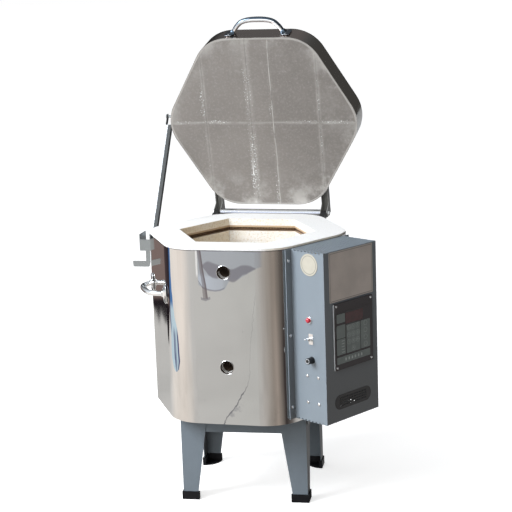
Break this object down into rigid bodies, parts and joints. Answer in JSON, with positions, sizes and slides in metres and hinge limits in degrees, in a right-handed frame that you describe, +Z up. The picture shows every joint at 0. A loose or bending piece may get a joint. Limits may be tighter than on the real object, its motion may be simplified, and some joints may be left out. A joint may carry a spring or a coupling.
{
  "type": "electric kiln",
  "caption": "Top-loading electric kiln: brick-lined hexagonal body on a four-legged stand, hinged lid with a latched stay, and a control box on one side.",
  "frame": {"origin": "on the floor under the middle of the kiln's body", "axes": "+Z up; -Y is the front, where the peepholes are; +X is the viewer's right, on whose front facet the control box stands"},
  "size_m": [0.8353, 0.7416, 1.5403],
  "materials": {
    "stainless": "mirror-bright stainless sheet",
    "firebrick": "soft insulating firebrick",
    "lid_brick": "coated insulating firebrick",
    "board": "insulating board",
    "blanket": "ceramic fibre blanket",
    "box_paint": "satin powder coat",
    "stand_paint": "satin powder coat",
    "dark_paint": "satin powder coat",
    "rubber": "moulded rubber",
    "zinc": "zinc plated",
    "chrome": "polished",
    "porcelain": "unglazed porcelain",
    "element": "oxidised resistance wire",
    "brass": "machined",
    "label": "painted plate",
    "badge": "printed disc",
    "panel": "satin powder coat",
    "keypad": "printed film",
    "window": "tinted window",
    "lens": "tinted lens",
    "black_plastic": "moulded",
    "circuit": "circuit board",
    "wire": "insulated wire"
  },
  "bodies": {
    "kiln_body": {"leg_front_left": "stand_paint", "leg_front_right": "stand_paint", "leg_rear_left": "stand_paint", "leg_rear_right": "stand_paint", "foot_caps": "rubber", "stand_rails": "stand_paint", "stand_bolts": "zinc", "base_pan": "stainless", "base_board": "board", "floor_bricks": "firebrick", "wall_bricks": "firebrick", "rim_bricks": "firebrick", "insulation_blanket": "blanket", "jacket": "stainless", "heating_elements": "element", "element_tubes": "porcelain", "terminal_lugs": "brass", "thermocouple": "porcelain", "peephole_rings": "chrome", "side_handle_left": "chrome", "side_handle_right": "chrome", "body_screws": "zinc", "hinge_brackets": "dark_paint", "stay_guide": "zinc", "box_back_panel": "box_paint", "box_cover": "box_paint", "box_top_panel": "box_paint", "box_bottom_panel": "box_paint", "box_spacers": "porcelain", "box_screws": "zinc", "vent_mesh": "box_paint", "label_plate": "label", "round_badge": "badge", "controller_panel": "panel", "keypad": "keypad", "display_window": "window", "circuit_board": "circuit", "lamp_bezel": "chrome", "lamp_lens": "lens", "toggle_switch": "zinc", "fuse_holder": "black_plastic", "relays": "black_plastic", "terminal_block": "porcelain", "supply_gland": "black_plastic", "wiring": "wire"},
    "lid": {"lid_bricks": "lid_brick", "lid_band": "stainless", "lid_board": "board", "lid_top_sheet": "stainless", "lid_handle": "chrome", "lid_arms": "dark_paint", "lid_screws": "zinc", "stay_pivot_bolt": "zinc", "hinge_rod": "zinc", "hinge_tube": "chrome"},
    "lid_stay": {"stay_arm": "zinc"},
    "latch": {"release_lever": "zinc"},
    "switch": {"toggle_bat": "chrome"},
    "fuse": {"fuse_cap": "black_plastic"}
  },
  "joints": [
    {"name": "lid_hinge", "type": "hinge", "parent": "kiln_body", "child": "lid", "pos_m": [0, 0.332, 0.86], "axis": [-1, 0, 0], "range_deg": [-77, 0]},
    {"name": "stay_pivot", "type": "hinge", "parent": "lid", "child": "lid_stay", "pos_m": [-0.34, 0.30686, 1.20006], "axis": [-1, 0, 0], "range_deg": [0, 34.6]},
    {"name": "latch_pivot", "type": "hinge", "parent": "kiln_body", "child": "latch", "pos_m": [-0.338, -0.015, 0.815], "axis": [0, 1, 0], "range_deg": [0, 10], "stiffness_Nm_per_rad": 0.5},
    {"name": "switch_pivot", "type": "hinge", "parent": "kiln_body", "child": "switch", "pos_m": [0.26799, -0.28982, 0.58], "axis": [0.866, -0.5, 0], "range_deg": [0, 24]},
    {"name": "fuse_cap_turn", "type": "hinge", "parent": "kiln_body", "child": "fuse", "pos_m": [0.27009, -0.29219, 0.514], "axis": [-0.5, -0.866, 0], "range_deg": [0, 90]}
  ],
  "couplings": [
    {"joint": "stay_pivot", "follows": "lid_hinge", "ratio": -0.448}
  ]
}
